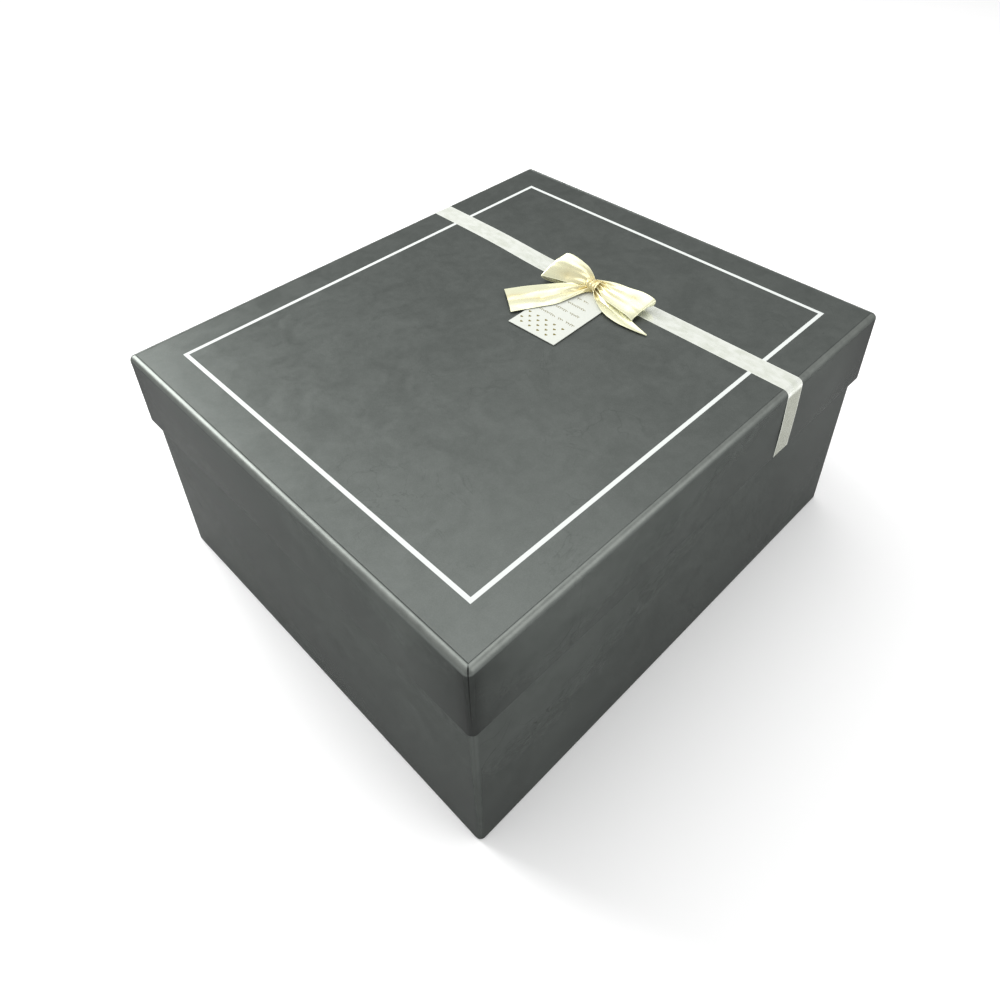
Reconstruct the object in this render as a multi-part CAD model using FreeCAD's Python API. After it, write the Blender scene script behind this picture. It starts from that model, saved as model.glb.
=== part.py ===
"""Rigid gift box: a greyboard tray and a lift-off lid, both wrapped in paper, with a flat ribbon
band round the lid, a tied bow and a swing tag.

Millimetres. X runs along the long side, Y along the short side, +Z up. The origin is the centre
of the underside. Front is -Y, left is -X. Each piece is written to parts/NAME.step.
"""
import FreeCAD, Part
import math
import os

# Outside of the closed box
box_length = 350.0
box_width = 300.0
closed_height = 166.0
lid_skirt = 51.0            # depth of the lid from its top to its rim

# Sheet stock
board = 2.0                 # greyboard
wrap = 0.3                  # covering paper
liner = 0.3                 # lining paper
stay = 0.15                 # paper tape that holds the upright corners
lid_gap = 0.5               # play between the tray and the inside of the lid, each side

# Folds and corners
corner_radius = 3.6         # upright corners, outside
lid_edge_radius = 3.6       # round the lid's top
tray_edge_radius = 1.5      # round the tray's underside
turn_in = 20.0              # covering paper turned over the rims
turn_under = 18.0           # covering paper turned under the tray
sheet_inset = 4.0           # the bottom sheet stops this far inside the tray's edge
stay_leg = 18.0             # tape on each side of a corner
stay_end_gap = 3.0          # the tape stops this far from a board's end

# Foil frame printed on the lid
frame_inset = 25.4          # lid's edge to the middle of the line
frame_line = 2.5
foil = 0.1

# Flat ribbon band round the lid
band_width = 15.0
band_thickness = 0.2
band_offset = 76.5          # centre of the lid to the middle of the band
band_tuck = 20.0            # length that goes up inside the rim

# Bow tied from a wider ribbon, which sits on the band
bow_ribbon = 25.0
bow_x = band_offset - 4.3
bow_y = -7.3
knot_shift = 2.2            # the knot leans this far left of the glue under it
knot_length = 10.0          # along X
knot_width = 9.0            # along Y
knot_height = 8.5
knot_round = 2.5
glue_radius = 2.2
loop_thickness = 6.0        # across the two layers of a loop, at its fold
loop_root_length = 7.5      # a loop's gathered end inside the knot, along X
loop_root_height = 3.4
loop_root_rise = 5.1        # above the underside of the knot
tail_layer = 2.0            # height that a tail's ripples take up
tail_root = 8.0             # width of a tail where it leaves the knot
folded_tail = 12.0          # width of the right tail, which is folded along its middle
tail_point = 2.0            # width of that tail's pointed end

# Swing tag under the bow
tag_length = 68.5
tag_width = 37.0
tag_thickness = 0.4
tag_hole_radius = 2.5
tag_hole_margin = 5.0       # tag's end to the middle of its hole
tag_angle = 1.7             # how far the tag lies turned at rest, in degrees
tag_gap = 0.3               # clear of the band below and of the bow above

# Levels and faces worked out from the sizes above
wall = wrap + board + max(wrap, liner)
rim = closed_height - lid_skirt
lid_board_top = closed_height - wrap
lid_board_under = lid_board_top - board
lid_ceiling = lid_board_under - liner
tray_length = box_length - 2 * (wall + lid_gap)
tray_width = box_width - 2 * (wall + lid_gap)
tray_under = wrap           # the bottom sheet lies below this level
floor_board_top = tray_under + board
floor_top = floor_board_top + liner
tray_top = lid_ceiling
tag_bottom = closed_height + band_thickness + tag_gap
tag_top = tag_bottom + tag_thickness
tail_bottom = tag_top + tag_gap
tail_top = tail_bottom + tail_layer
knot_bottom = tail_bottom
knot_top = knot_bottom + knot_height
SHAPE_MARGIN = 5.0          # how far a cutting block reaches past what it cuts

Vector = FreeCAD.Vector


def block(length, width, bottom, top, x=0.0, y=0.0):
    """A square-edged block centred on x, y."""
    corner = Vector(x - length / 2, y - width / 2, bottom)
    return Part.makeBox(length, width, top - bottom, corner)


def span(x0, x1, y0, y1, z0, z1):
    """A square-edged block between two corners."""
    return Part.makeBox(x1 - x0, y1 - y0, z1 - z0, Vector(x0, y0, z0))


def edges_at(shape, level):
    """The edges that lie wholly at one height."""
    return [e for e in shape.Edges if all(abs(v.Z - level) < 1e-6 for v in e.Vertexes)]


def rounded(length, width, bottom, top, upright, top_edge=0.0, bottom_edge=0.0):
    """A block with rounded upright corners and, where asked for, rounded top or bottom edges."""
    shape = block(length, width, bottom, top)
    uprights = [e for e in shape.Edges if abs(e.Vertexes[0].Z - e.Vertexes[1].Z) > 1e-6]
    shape = shape.makeFillet(upright, uprights)
    if top_edge:
        shape = shape.makeFillet(top_edge, edges_at(shape, top))
    if bottom_edge:
        shape = shape.makeFillet(bottom_edge, edges_at(shape, bottom))
    return shape


def join(first, *others):
    return first.fuse(list(others)).removeSplitter()


def corner_stays(length, width, bottom, top, radius):
    """Four strips of tape round the upright corners of boards with this outline."""
    outside = rounded(length + 2 * stay, width + 2 * stay, bottom, top, radius + stay)
    ring = outside.cut(rounded(length, width, bottom, top, radius))
    stays = []
    for sign_x in (-1, 1):
        for sign_y in (-1, 1):
            corner = block(2 * stay_leg, 2 * stay_leg, bottom, top,
                           sign_x * length / 2, sign_y * width / 2)
            stays.append(ring.common(corner))
    return Part.makeCompound(stays)


def wall_boards(shell, length, width, bottom, top):
    """The shell's four walls: front and back run the full length, and the ends fit between."""
    x, y = length / 2, width / 2
    past = SHAPE_MARGIN
    regions = {
        "front": span(-x - past, x + past, -y - past, -y + board, bottom, top),
        "back": span(-x - past, x + past, y - board, y + past, bottom, top),
        "left": span(-x - past, -x + board, -y + board, y - board, bottom, top),
        "right": span(x - board, x + past, -y + board, y - board, bottom, top),
    }
    return {side: shell.common(region) for side, region in regions.items()}


def make_tray():
    """The lower half: floor and wall boards, tape, covering paper, bottom sheet and linings."""
    length, width = tray_length - 2 * wrap, tray_width - 2 * wrap
    hollow_length, hollow_width = length - 2 * board, width - 2 * board
    boards_bottom, boards_top = tray_under + wrap, tray_top - wrap

    # The boards, with the floor pressed down inside the paper that is turned under
    shell = rounded(length, width, boards_bottom, boards_top, corner_radius - wrap,
                    bottom_edge=tray_edge_radius - wrap)
    pad = block(tray_length - 2 * turn_under, tray_width - 2 * turn_under,
                tray_under, boards_bottom)
    hollow = block(hollow_length, hollow_width, floor_board_top, boards_top)
    shell = join(shell, pad).cut(hollow)
    floor_board = shell.common(block(box_length, box_width, 0, floor_board_top))
    walls = wall_boards(shell, length, width, floor_board_top, boards_top)
    stays = corner_stays(length, width, floor_board_top + stay_end_gap,
                         boards_top - stay_end_gap, corner_radius - wrap)

    # Covering paper: up the outside, over the rim and under the floor
    turned_in = tray_top - turn_in
    outside = rounded(tray_length, tray_width, tray_under, tray_top, corner_radius,
                      bottom_edge=tray_edge_radius)
    below = block(hollow_length, hollow_width, floor_board_top, turned_in)
    above = block(hollow_length - 2 * wrap, hollow_width - 2 * wrap,
                  turned_in, tray_top + SHAPE_MARGIN)
    covering = outside.cut([shell, stays, below, above])

    bottom_sheet = rounded(tray_length - 2 * sheet_inset, tray_width - 2 * sheet_inset,
                           0, tray_under, corner_radius)
    floor_liner = block(hollow_length, hollow_width, floor_board_top, floor_top)
    wall_liner = block(hollow_length, hollow_width, floor_top, turned_in).cut(
        block(hollow_length - 2 * liner, hollow_width - 2 * liner, floor_top, turned_in))

    pieces = {f"base_wall_board_{side}": shape for side, shape in walls.items()}
    pieces.update(base_floor_board=floor_board, base_corner_stays=stays, base_wrap=covering,
                  base_bottom_sheet=bottom_sheet, base_floor_liner=floor_liner,
                  base_wall_liner=wall_liner)
    return pieces


def make_foil_frame():
    """A rectangular line of foil, flush with the top of the lid."""
    length, width = box_length - 2 * frame_inset, box_width - 2 * frame_inset
    bottom = closed_height - foil
    outer = block(length + frame_line, width + frame_line, bottom, closed_height)
    inner = block(length - frame_line, width - frame_line, bottom, closed_height)
    return outer.cut(inner)


def make_lid():
    """The upper half, which slides down over the tray until its ceiling meets the tray's rim."""
    length, width = box_length - 2 * wrap, box_width - 2 * wrap
    hollow_length, hollow_width = length - 2 * board, width - 2 * board
    boards_bottom = rim + wrap

    shell = rounded(length, width, boards_bottom, lid_board_top, corner_radius - wrap,
                    top_edge=lid_edge_radius - wrap)
    shell = shell.cut(block(hollow_length, hollow_width, boards_bottom, lid_board_under))
    top_board = shell.common(block(box_length, box_width, lid_board_under, lid_board_top))
    walls = wall_boards(shell, length, width, boards_bottom, lid_board_under)
    stays = corner_stays(length, width, boards_bottom + stay_end_gap,
                         lid_board_top - lid_edge_radius, corner_radius - wrap)

    turned_in = rim + turn_in
    outside = rounded(box_length, box_width, rim, closed_height, corner_radius,
                      top_edge=lid_edge_radius)
    above = block(hollow_length, hollow_width, turned_in, lid_board_under)
    below = block(hollow_length - 2 * wrap, hollow_width - 2 * wrap,
                  rim - SHAPE_MARGIN, turned_in)
    frame = make_foil_frame()
    covering = outside.cut([shell, stays, above, below, frame])
    lining = above.cut(block(hollow_length - 2 * liner, hollow_width - 2 * liner,
                             turned_in, lid_ceiling))

    pieces = {f"lid_wall_board_{side}": shape for side, shape in walls.items()}
    pieces.update(lid_top_board=top_board, lid_corner_stays=stays, lid_wrap=covering,
                  lid_liner=lining, lid_foil_frame=frame)
    return pieces


def make_band():
    """Flat ribbon across the lid, down both long sides, under the rim and up inside it."""
    def strip(half_width, bottom, top, radius):
        """The lid's outline across Y, as deep in X as the band is wide."""
        shape = block(band_width, 2 * half_width, bottom, top, band_offset)
        ridges = [e for e in edges_at(shape, top)
                  if abs(e.Vertexes[0].X - e.Vertexes[1].X) > 1e-6]
        return shape.makeFillet(radius, ridges)

    half = box_width / 2
    inside = half - wrap - board - wrap
    outer = strip(half + band_thickness, rim - band_thickness,
                  closed_height + band_thickness, lid_edge_radius + band_thickness)
    lid_section = strip(half, rim, closed_height, lid_edge_radius)
    open_middle = block(band_width, 2 * (inside - band_thickness),
                        rim - band_thickness, rim, band_offset)
    tucks = []
    for sign in (-1, 1):
        middle = sign * (inside - band_thickness / 2)
        tucks.append(block(band_width, band_thickness, rim - band_thickness,
                           rim + band_tuck, band_offset, middle))
    return join(outer.cut([lid_section, open_middle]), *tucks)


def section(centre, across, width, thickness, along):
    """A rectangle across a ribbon's run, as a wire: `across` is its wide direction."""
    wide = Vector(*across).normalize()
    thin = Vector(*along).cross(wide).normalize()
    corners = []
    for side_wide, side_thin in ((-1, -1), (1, -1), (1, 1), (-1, 1), (-1, -1)):
        corners.append(Vector(*centre) + wide * (side_wide * width / 2)
                       + thin * (side_thin * thickness / 2))
    return Part.makePolygon(corners)


def ribbon_outline(centres, widths):
    """A flat shape that follows the centres with a width at each, as a list of corners."""
    left, right = [], []
    for i, (x, y) in enumerate(centres):
        before, after = centres[max(i - 1, 0)], centres[min(i + 1, len(centres) - 1)]
        heading = math.atan2(after[1] - before[1], after[0] - before[0])
        side_x, side_y = -math.sin(heading), math.cos(heading)
        left.append((x + side_x * widths[i] / 2, y + side_y * widths[i] / 2))
        right.append((x - side_x * widths[i] / 2, y - side_y * widths[i] / 2))
    return left + right[::-1]


def plate(corners, bottom, top):
    """A flat outline raised into a plate."""
    points = [Vector(x, y, bottom) for x, y in corners]
    return Part.Face(Part.makePolygon(points + points[:1])).extrude(Vector(0, 0, top - bottom))


def make_bow():
    """Plain solids for the bow's knot, two loops, two tails and the glue that holds it."""
    knot_x = bow_x - knot_shift
    knot = block(knot_length, knot_width, knot_bottom, knot_top, knot_x, bow_y)
    knot = knot.makeFillet(knot_round, edges_at(knot, knot_top))
    glue = Part.makeCylinder(glue_radius, knot_bottom - closed_height - band_thickness,
                             Vector(bow_x, bow_y, closed_height + band_thickness))

    pieces = {"bow_knot": knot, "bow_glue_dot": glue}

    def add(name, solid):
        """Keep a piece, trimmed where the bow's earlier pieces already are."""
        pieces[name] = solid.cut(list(pieces.values()))

    # Tails lie along the lid, from under the knot: middle line and width, from the knot out
    tails = {
        "left": ([(0, 0), (-15.5, 12), (-46, 32)],
                 [tail_root, 0.9 * bow_ribbon, bow_ribbon]),
        "right": ([(-1, 0), (-11, -14), (-16.5, -30), (-15, -54.5)],
                  [tail_root, folded_tail, folded_tail, tail_point]),
    }
    for side, (centres, widths) in tails.items():
        places = [(knot_x + x, bow_y + y) for x, y in centres]
        add(f"bow_tail_{side}", plate(ribbon_outline(places, widths), tail_bottom, tail_top))

    # Each loop fans out from the knot: where its fold is, which way the fold runs, and how
    # far above the lid the fold's lower end stays
    root_level = knot_bottom + loop_root_rise
    loops = {
        "left": {"reach": (-5.5, 29.5), "fold": (0.80, -0.24, 0.55), "low_end": 3.5},
        "right": {"reach": (-1.0, -40.0), "fold": (0.96, -0.15, 0.2), "low_end": 4.9},
    }
    for side, loop in loops.items():
        reach_x, reach_y = loop["reach"]
        turn = math.copysign(1, reach_y)
        root = (knot_x, bow_y + turn * knot_width / 4, root_level)
        rise = loop["low_end"] + Vector(*loop["fold"]).normalize().z * bow_ribbon / 2
        tip = (knot_x + reach_x, bow_y + reach_y, closed_height + rise)
        run = tuple(b - a for a, b in zip(root, tip))
        pinch = section(root, (1, 0, 0), loop_root_length, loop_root_height, (0, turn, 0))
        fold = section(tip, loop["fold"], bow_ribbon, loop_thickness, run)
        add(f"bow_loop_{side}", Part.makeLoft([pinch, fold], True, True))
    return pieces


def make_tag():
    """A card tag with a round hole, through which the bow's glue dot holds it."""
    card = span(bow_x + tag_hole_margin - tag_length, bow_x + tag_hole_margin,
                bow_y - tag_width / 2, bow_y + tag_width / 2, tag_bottom, tag_top)
    hole = Part.makeCylinder(tag_hole_radius, tag_thickness, Vector(bow_x, bow_y, tag_bottom))
    card = card.cut(hole)
    card.rotate(Vector(bow_x, bow_y, 0), Vector(0, 0, 1), tag_angle)
    return card


def main():
    pieces = {**make_tray(), **make_lid(), "ribbon_band": make_band(), **make_bow(),
              "gift_tag": make_tag()}
    os.makedirs("parts", exist_ok=True)
    for name, shape in pieces.items():
        solids = shape.Solids
        if not solids or not all(s.isValid() and s.isClosed() for s in solids):
            raise ValueError(f"{name} is not made of closed solids")
        Part.makeCompound(solids).exportStep(f"parts/{name}.step")
        box = shape.BoundBox
        print(f"{name:24s} {len(solids)} solid(s) {shape.Volume:10.1f} mm3  "
              f"x {box.XMin:.2f} {box.XMax:.2f}  y {box.YMin:.2f} {box.YMax:.2f}  "
              f"z {box.ZMin:.2f} {box.ZMax:.2f}")


main()
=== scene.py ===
"""Gift box: the covering papers, ribbon band, tied bow and printed tag, built round the boards.

Metres, in the same frame as the boards: X runs along the box, Y across it, +Z up, and the origin
is the centre of the underside. Front is -Y and left is -X.
"""
import math

import bmesh
import bpy
import numpy as np
from bpy.props import FloatProperty, FloatVectorProperty, IntProperty, PointerProperty
from mathutils import Matrix, Vector


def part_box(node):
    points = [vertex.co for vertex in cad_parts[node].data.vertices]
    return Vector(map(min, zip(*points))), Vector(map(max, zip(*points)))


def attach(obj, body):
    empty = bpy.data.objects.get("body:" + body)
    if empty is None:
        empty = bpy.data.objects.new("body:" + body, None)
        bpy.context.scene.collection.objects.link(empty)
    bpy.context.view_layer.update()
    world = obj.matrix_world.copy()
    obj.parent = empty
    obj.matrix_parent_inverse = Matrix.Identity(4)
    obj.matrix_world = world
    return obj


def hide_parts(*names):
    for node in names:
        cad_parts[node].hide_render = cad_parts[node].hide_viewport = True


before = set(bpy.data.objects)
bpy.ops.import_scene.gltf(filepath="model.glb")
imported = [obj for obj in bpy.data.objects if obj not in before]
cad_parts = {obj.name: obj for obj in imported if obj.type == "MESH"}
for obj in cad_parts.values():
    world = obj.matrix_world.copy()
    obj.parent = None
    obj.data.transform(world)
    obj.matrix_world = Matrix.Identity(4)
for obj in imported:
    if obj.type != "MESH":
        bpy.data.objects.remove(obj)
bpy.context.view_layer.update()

bl_info = {
    "name": "Ribboned gift box",
    "version": (1, 0, 0),
    "blender": (4, 5, 0),
    "location": "3D View > Sidebar > Gift box",
    "description": "Covers a rigid gift box in paper and dresses it with a band, a bow and a tag",
    "category": "Add Mesh",
}

MM = 0.001
LID_LOW, LID_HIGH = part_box("lid_wrap")
TRAY_LOW, TRAY_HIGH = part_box("base_wrap")
BAND_LOW, BAND_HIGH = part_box("ribbon_band")
KNOT_LOW, KNOT_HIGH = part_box("bow_knot")
TAG_LOW, TAG_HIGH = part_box("gift_tag")

# How the flat band lies
BAND_TUCK = 20 * MM         # how far it goes up inside each rim
BAND_FOLD = 0.6 * MM        # how tightly it turns round a rim
BAND_COLUMNS = 17           # points across it
BAND_HANG = 0.35 * MM       # how far its sides stand off the lid, half way down
BAND_SLANT = 0.5 * MM       # how far its front end leans to the right
PULL_AT, PULL_SPREAD = 32 * MM, 42 * MM     # where the bow drags it sideways, and over how far

# How the knot is drawn together
KNOT_ROWS, KNOT_COLUMNS = 96, 40            # points round it and along it
KNOT_PLEAT = 0.35 * MM      # height of its pleats
KNOT_SLACK = 0.6 * MM       # room left round it for the pleats
KNOT_END = 0.4 * MM         # room left at its two ends


def shade(red, green, blue):
    """A colour read off a colour card, 0 to 255, as the shader's own numbers."""
    scaled = (value / 255 for value in (red, green, blue))
    return tuple(v / 12.92 if v < 0.04045 else ((v + 0.055) / 1.055) ** 2.4 for v in scaled)


def length(name, default, description):
    """A size in metres that a user can set."""
    return FloatProperty(name=name, description=description, default=default, min=0.0,
                         unit="LENGTH", subtype="DISTANCE", precision=5)


def colour(name, default, description):
    """A colour that a user can set."""
    return FloatVectorProperty(name=name, description=description, default=shade(*default),
                               size=3, min=0.0, max=1.0, subtype="COLOR")


class GiftBoxPaper(bpy.types.PropertyGroup):
    """Sizes and colours of the covering papers, the printed line and the boards inside."""
    thickness: length("Paper", 0.3 * MM, "Thickness of the covering paper")
    corner: length("Corner radius", 3.6 * MM, "Radius of the upright corners, outside")
    lid_edge: length("Lid edge radius", 3.6 * MM, "Radius round the top of the lid")
    tray_edge: length("Tray edge radius", 1.5 * MM, "Radius round the underside of the tray")
    rim_fold: length("Rim fold radius", 0.7 * MM, "How softly the paper turns over a rim")
    wall: length("Wall", 2.6 * MM, "Board with paper on both of its sides")
    turn_in: length("Turn-in", 20 * MM, "Paper turned over a rim to the inside")
    turn_under: length("Turn-under", 18 * MM, "Paper turned under the tray")
    crease_inset: length("Crease inset", 0.2 * MM, "From the rounded edge to the pressed crease")
    crease_width: length("Crease width", 0.2 * MM, "Half the width of the pressed crease")
    crease_depth: length("Crease depth", 0.2 * MM, "Depth of the pressed crease")
    seam_width: length("Seam width", 0.2 * MM, "Half the width of the paper's seam at a corner")
    # Painted shade: how far a darker tone is laid in from each upright corner.
    painted_shade_reach: length("Painted corner shade", 42 * MM, "How far the darker tone goes from a corner")
    lid_seam: length("Lid seam depth", 0.1 * MM, "Depth of the lid's corner seams at the top")
    tray_seam: length("Tray seam depth", 0.06 * MM, "Depth of the tray's corner seams")
    line_width: length("Line width", 2.5 * MM, "Width of the printed line")
    line_rise: length("Line rise", 0.04 * MM, "How far the printed line stands up")
    round_steps: IntProperty(name="Rounding steps", description="Faces round each corner",
                             default=8, min=4, max=24)
    grey: colour("Grey", (84, 88, 85), "Colour of the covering paper")
    pearl: colour("Pearl", (116, 120, 117), "Colour of the mica in the covering paper")
    # Painted highlight: a paler colour laid along the paper's rounded top edge.
    painted_highlight: colour("Painted edge highlight", (186, 191, 184), "Colour of the highlight painted along the paper's rounded edge")
    # Near black: the dark joints in the seams, with painted shade in their pressed grooves; it also
    # colours the painted shade towards the corners.
    seam: colour("Seam", (22, 23, 22), "Colour deep in the paper's seams")
    line: colour("Line", (216, 220, 217), "Colour of the printed line")
    board: colour("Greyboard", (150, 142, 128), "Colour of the board inside the paper")
    lining: colour("Lining", (226, 222, 212), "Colour of the lining paper")
    tape: colour("Tape", (196, 170, 126), "Colour of the tape round the corners")


class GiftBoxRibbon(bpy.types.PropertyGroup):
    """Sizes and colours of the band, the bow and the tag."""
    band_rows: IntProperty(name="Band rows", description="Faces along the band", default=420,
                           min=60, max=1200)
    band_pull: length("Band pull", 3.0 * MM, "How far the bow pulls the band to the left")
    bow_width: length("Bow ribbon", 25 * MM, "Width of the ribbon that the bow is tied from")
    satin: length("Satin", 0.16 * MM, "Thickness of the ribbon")
    bow_rows: IntProperty(name="Bow rows", description="Faces along each loop of the bow",
                          default=150, min=40, max=400)
    bow_columns: IntProperty(name="Bow columns", description="Faces across the bow's ribbon",
                             default=56, min=16, max=120)
    heart: length("Heart", 2.1 * MM, "Width of a printed heart")
    print_rise: length("Print rise", 0.02 * MM, "How far the tag's print stands up")
    band: colour("Band", (235, 238, 230), "Colour of the flat band")
    # Painted shade: a darker copy of the band's colour where it runs down the lid's sides.
    band_side: colour("Painted shade on the band's sides", (136, 139, 121), "Colour of the band down the lid's sides")
    cream: colour("Cream", (234, 234, 201), "Colour of the bow")
    # Painted shade: a deeper, warmer copy of the bow's colour for its creases and round its knot.
    painted_fold_shade: colour("Painted fold shade", (230, 206, 140), "Colour deep in the bow's folds")
    card: colour("Card", (205, 208, 200), "Colour of the tag")
    gold: colour("Gold", (112, 102, 48), "Colour of the tag's print")
    glue: colour("Glue", (222, 214, 190), "Colour of the dot of glue")


# ---------------------------------------------------------------- shaders

class Value:
    """What a shader node gives. Sums on it add Math nodes."""

    def __init__(self, finish, socket):
        self.finish, self.socket = finish, socket

    def __add__(self, other):
        return self.finish.maths("ADD", self, other)

    def __radd__(self, other):
        return self.finish.maths("ADD", other, self)

    def __sub__(self, other):
        return self.finish.maths("SUBTRACT", self, other)

    def __rsub__(self, other):
        return self.finish.maths("SUBTRACT", other, self)

    def __mul__(self, other):
        return self.finish.maths("MULTIPLY", self, other)


class Finish:
    """One material: a Principled shader and the nodes that feed it."""

    def __init__(self, name, **constants):
        self.material = bpy.data.materials.new(name)
        self.material.use_nodes = True
        self.tree = self.material.node_tree
        self.tree.nodes.clear()
        self.shader = self.tree.nodes.new("ShaderNodeBsdfPrincipled")
        output = self.tree.nodes.new("ShaderNodeOutputMaterial")
        self.tree.links.new(self.shader.outputs["BSDF"], output.inputs["Surface"])
        self.set(**constants)

    def feed(self, socket, value):
        if isinstance(value, Value):
            self.tree.links.new(value.socket, socket)
        elif hasattr(value, "__len__") and socket.type == "RGBA":
            socket.default_value = (*value[:3], 1.0)
        else:
            socket.default_value = value

    def set(self, **values):
        """Feeds the shader's own sockets, named in lower case with underscores."""
        names = {socket.name.lower().replace(" ", "_"): socket for socket in self.shader.inputs}
        for name, value in values.items():
            self.feed(names[name], value)

    def node(self, kind, settings=None, inputs=None, output=0):
        """Adds a node: its settings first, then a value or a link for each of its sockets."""
        made = self.tree.nodes.new(kind)
        for name, value in (settings or {}).items():
            if name == "stops":
                self.set_stops(made.color_ramp.elements, value)
            else:
                setattr(made, name, value)
        for name, value in (inputs or {}).items():
            self.feed(made.inputs[name], value)
        return Value(self, made.outputs[output])

    def maths(self, operation, *values):
        return self.node("ShaderNodeMath", {"operation": operation}, dict(enumerate(values)))

    @staticmethod
    def set_stops(elements, stops):
        while len(elements) < len(stops):
            elements.new(0.5)
        for element, (place, level) in zip(elements, stops):
            element.position = place
            element.color = (level, level, level, 1.0)

    def place(self, stretch=(1.0, 1.0, 1.0)):
        """Object coordinates, stretched."""
        where = self.node("ShaderNodeTexCoord", output="Object")
        return self.node("ShaderNodeMapping", None, {"Vector": where, "Scale": stretch})

    def noise(self, where, per_metre, detail=3.0, roughness=0.5, distortion=0.0):
        return self.node("ShaderNodeTexNoise", None, {
            "Vector": where, "Scale": per_metre, "Detail": detail, "Roughness": roughness,
            "Distortion": distortion}, output="Fac")

    def ramp(self, value, *stops):
        """A value read through a ramp of (place, level) stops."""
        return self.node("ShaderNodeValToRGB", {"stops": stops}, {"Fac": value})

    def blend(self, factor, first, second):
        return self.node("ShaderNodeMix", {"data_type": "RGBA"},
                         {0: factor, 6: first, 7: second}, output=2)

    def bump(self, height, depth):
        """Normals for a height of 0 to 1 that stands for this depth in metres."""
        bumped = self.node("ShaderNodeBump", None, {
            "Height": height, "Distance": depth, "Strength": 1.0})
        self.set(normal=bumped)


def edge_masks(finish, paper, high, low_z):
    """Three masks: a painted highlight on the rounded top edge, the corner seams (dark joints
    with painted shade in their grooves) and painted shade towards the corners.
    """
    where = finish.node("ShaderNodeTexCoord", output="Object")
    x, y, z = (finish.node("ShaderNodeSeparateXYZ", None, {0: where}, output=axis)
               for axis in "XYZ")
    inset_x = high.x - finish.maths("ABSOLUTE", x)
    inset_y = high.y - finish.maths("ABSOLUTE", y)
    nearest = finish.maths("MINIMUM", inset_x, inset_y)
    apart = finish.maths("ABSOLUTE", inset_x - inset_y)
    from_corner = finish.maths("MAXIMUM", inset_x, inset_y)
    reach = 1 / paper.lid_edge
    below = (high.z - z) * reach
    # Painted highlight mask: the upper part of the rounded top edge, away from the seams.
    painted_highlight = (finish.ramp(nearest * reach, (0.9, 1.0), (1.0, 0.0))
              * finish.ramp(below, (0.2, 1.0), (0.7, 0.0))
              * finish.ramp(apart * reach, (0.12, 0.0), (0.24, 1.0)))
    # Seam mask: a dark joint down each upright corner, with painted shade in its pressed groove,
    # strongest at the top.
    seam = (finish.ramp(apart * reach, (0.07, 1.0), (0.13, 0.0))
            * finish.ramp(nearest * reach, (0.7, 1.0), (0.9, 0.0))
            * finish.ramp((z - low_z) * (1 / (high.z - low_z)), (0.1, 0.05), (0.95, 1.0)))
    # Painted shade mask: darker towards each upright corner, below the rounded top edge.
    painted_corner_shade = (finish.ramp(from_corner * (1 / paper.painted_shade_reach),
                          (0.04, 1.0), (0.22, 0.55), (1.0, 0.0))
              * finish.ramp(below, (0.75, 0.0), (0.98, 1.0)))
    return painted_highlight, seam, painted_corner_shade


def pearl_paper(name, paper, high, low_z, seam_and_shade_share):
    """Pearly dark grey paper: mica speckle, soft mottling, faint waves, creases and small dents.

    It has a painted highlight on its top edge, painted shade towards the corners, and is darkest in
    the seams: dark joints with painted shade in their grooves."""
    finish = Finish(name, metallic=0.7, specular_ior_level=0.25, specular_tint=(0.12,) * 3)
    where = finish.place()
    grain = finish.noise(where, 2600, detail=2, roughness=0.6)
    mottle = finish.noise(where, 210, detail=4, roughness=0.62)
    patch = finish.noise(where, 46, detail=4, roughness=0.55, distortion=1.1)
    cloud = finish.noise(where, 13, detail=3, roughness=0.5, distortion=0.4)
    dents = finish.ramp(finish.noise(where, 62, detail=1, roughness=0.4), (0.7, 0.0), (0.8, 1.0))
    veins = finish.ramp(finish.noise(where, 24, detail=3, roughness=0.55, distortion=1.6),
                        (0.488, 0.0), (0.5, 1.0), (0.512, 0.0))
    veins = veins * finish.ramp(cloud, (0.5, 0.0), (0.62, 1.0))
    mica = finish.ramp(grain, (0.35, 0.0), (0.75, 1.0))
    patches = finish.ramp(patch, (0.35, 0.0), (0.65, 1.0))
    tone = mica * 0.28 + mottle * 0.28 + patches * 0.14 + cloud * 0.15 - veins * 0.2
    tint = finish.blend(tone, paper.grey, paper.pearl)
    painted_highlight, seam, painted_corner_shade = edge_masks(finish, paper, high, low_z)
    # Painted highlight along the rounded top edge.
    tint = finish.blend(painted_highlight * (0.08 + mottle * 0.26), tint, paper.painted_highlight)
    # Painted shade towards the upright corners, in the seam colour.
    tint = finish.blend(painted_corner_shade * (0.72 * seam_and_shade_share), tint, paper.seam)
    # Dark joint, with painted shade in the seam's groove.
    tint = finish.blend(seam * seam_and_shade_share, tint, paper.seam)
    finish.set(base_color=tint, roughness=0.27 + mottle * 0.1 + patches * 0.05 + cloud * 0.08)
    finish.bump(grain * 0.08 + mottle * 0.14 + patches * 0.04 + cloud * 0.9 - dents * 0.15
                - veins * 0.05, 0.16 * MM)
    return finish.material


def plain_paper(name, tint, fibre=900, depth=0.05 * MM, rough=0.75):
    """Uncoated paper or board with visible fibres."""
    finish = Finish(name, roughness=rough, specular_ior_level=0.3)
    fibres = finish.noise(finish.place((1.0, 0.35, 1.0)), fibre, detail=4, roughness=0.7)
    flecks = finish.ramp(finish.noise(finish.place(), 420, detail=3), (0.6, 0.0), (0.72, 1.0))
    dark = tuple(v * 0.72 for v in tint)
    light = tuple(min(1.0, v * 1.08) for v in tint)
    finish.set(base_color=finish.blend(fibres * 0.8 + flecks * 0.3, light, dark))
    finish.bump(fibres, depth)
    return finish.material


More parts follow.
